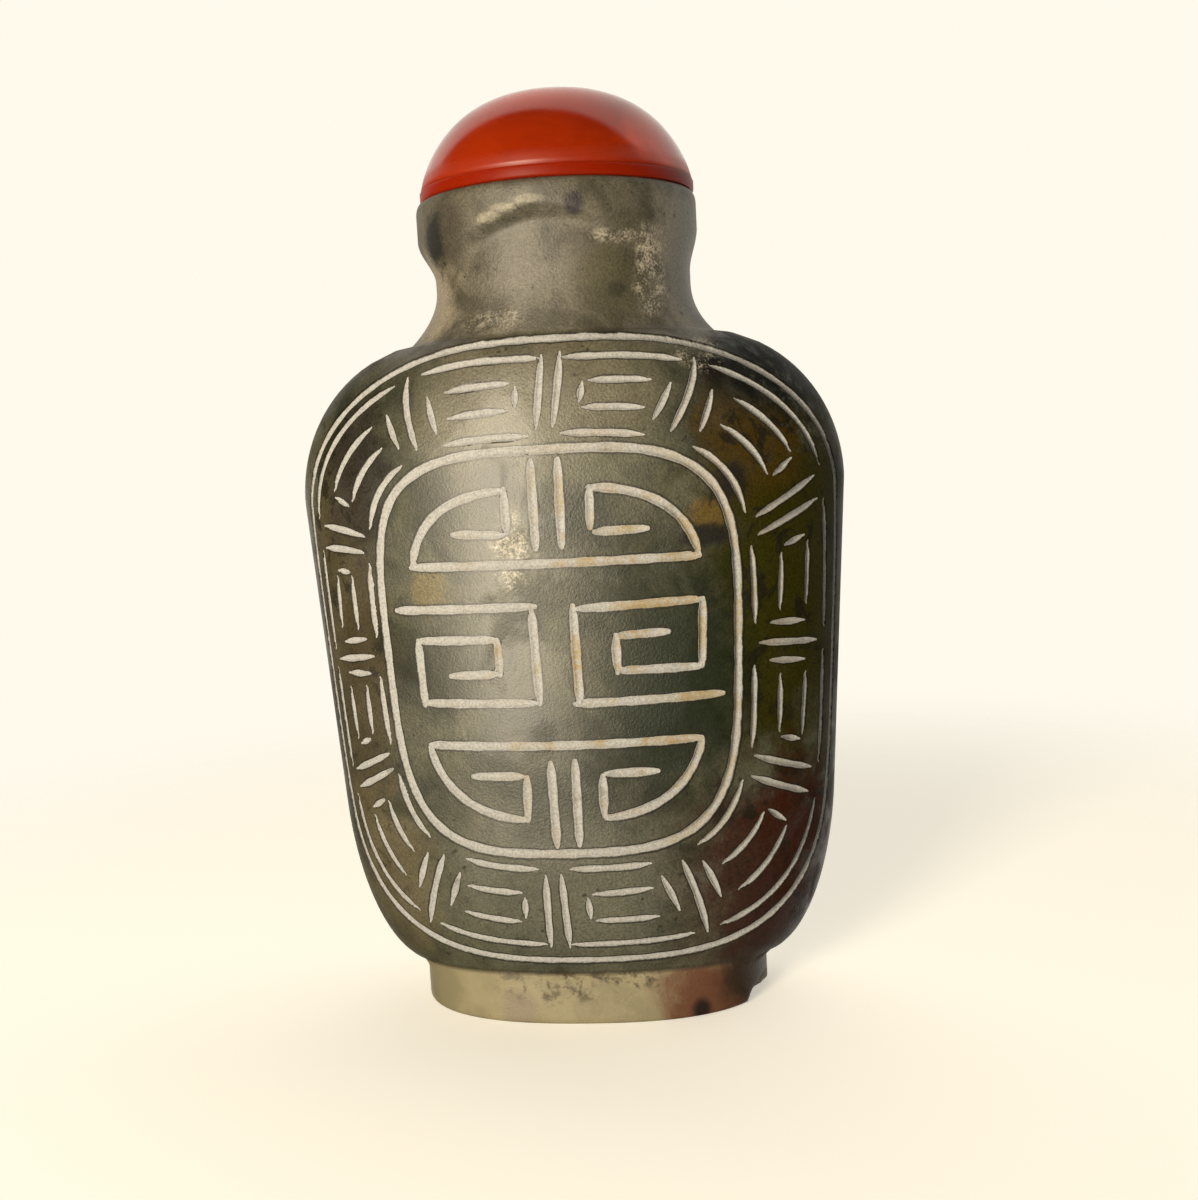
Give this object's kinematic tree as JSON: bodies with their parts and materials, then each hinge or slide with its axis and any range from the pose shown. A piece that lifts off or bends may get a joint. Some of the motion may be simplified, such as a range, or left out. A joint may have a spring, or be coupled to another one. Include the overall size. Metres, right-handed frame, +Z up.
{
  "type": "snuff bottle",
  "caption": "Flattened oval snuff bottle of dark carved stone with a fret border round a medallion, oval foot and collared neck, closed by a domed red stopper.",
  "frame": {"origin": "centre of the foot's underside, on the surface that the bottle stands on", "axes": "+Z up to the stopper, +X to the right and -Y towards the viewer of the carved front"},
  "size_m": [0.0394, 0.0236, 0.0654],
  "materials": {
    "jade": "waxy polish over dark grey-green stone, chalk-filled carved lines",
    "red_stopper": "high polish"
  },
  "bodies": {
    "root": {"bottle": "jade", "stopper": "red_stopper"}
  },
  "joints": []
}
